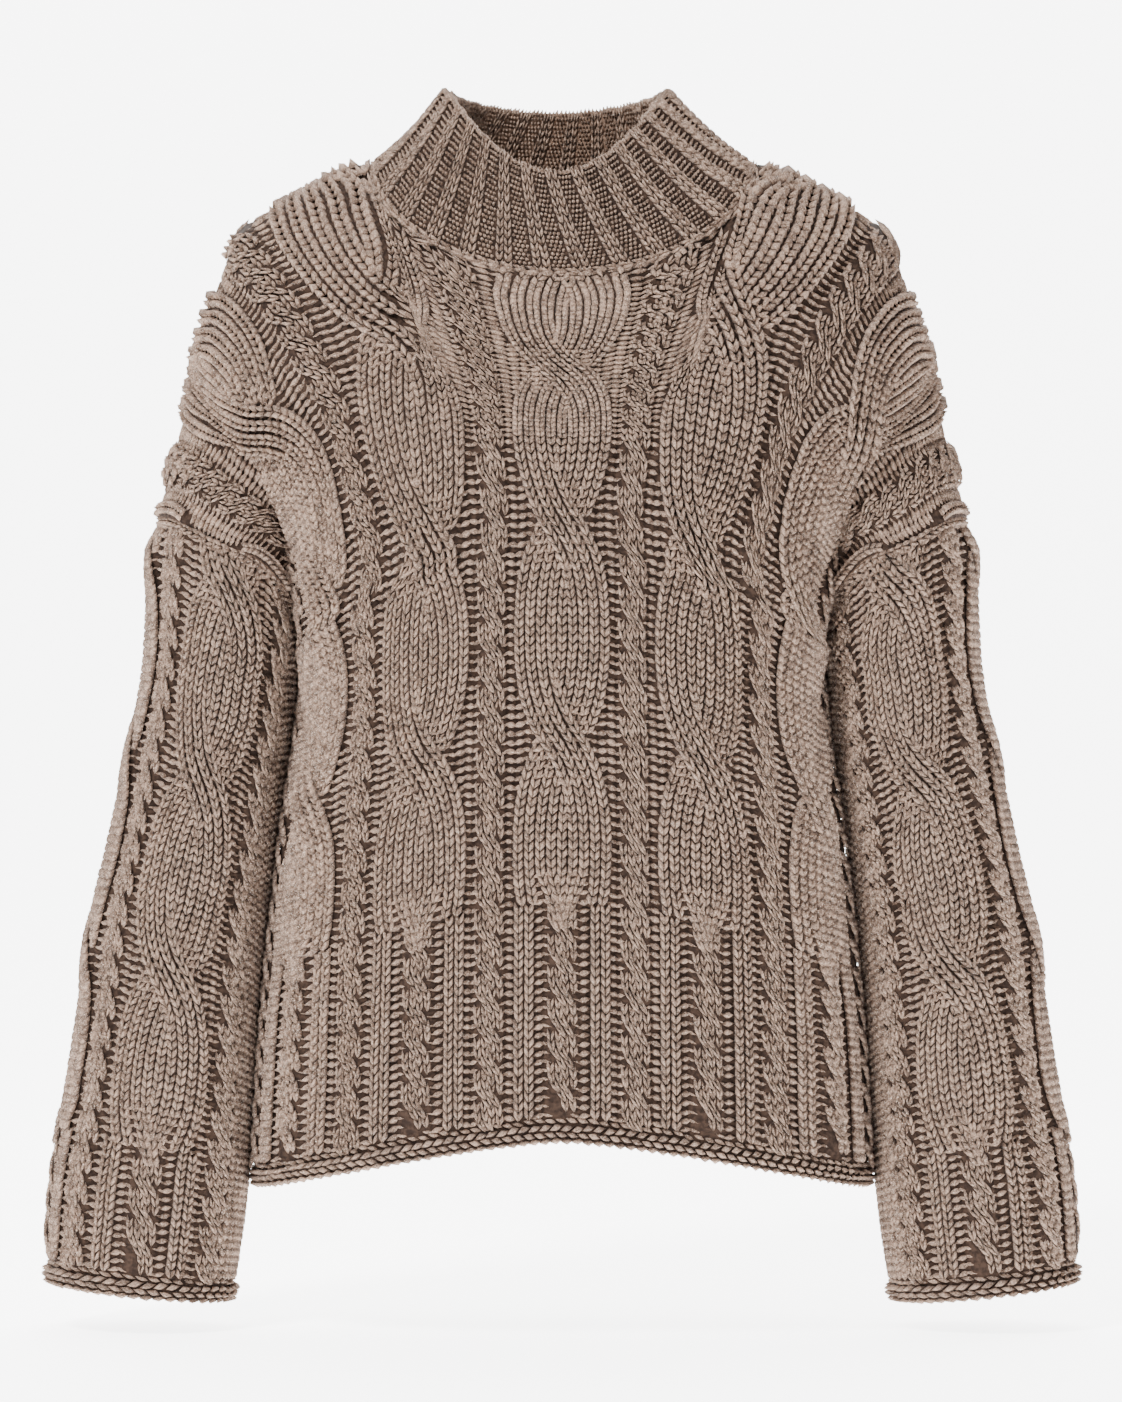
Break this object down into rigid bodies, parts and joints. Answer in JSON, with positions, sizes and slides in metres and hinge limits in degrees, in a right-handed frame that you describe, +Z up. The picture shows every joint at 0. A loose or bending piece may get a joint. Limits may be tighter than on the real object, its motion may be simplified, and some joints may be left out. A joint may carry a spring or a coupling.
{
  "type": "cable knit sweater",
  "caption": "Chunky cable knit sweater with a ribbed funnel collar, dropped shoulders and wide straight sleeves, filled out and hollow.",
  "frame": {"origin": "midway between the two points where the shoulder seams meet the collar, where the wearer's shoulders and neck hold the garment", "axes": "+Z up the body, front of the sweater towards -Y, the wearer's right sleeve at -X"},
  "size_m": [0.6184, 0.2293, 0.7245],
  "materials": {
    "yarn": "heathered mushroom-brown wool yarn, matt with slight fuzz"
  },
  "bodies": {
    "root": {"front": "yarn", "back": "yarn", "sleeve_left": "yarn", "sleeve_right": "yarn", "collar": "yarn"}
  },
  "joints": []
}
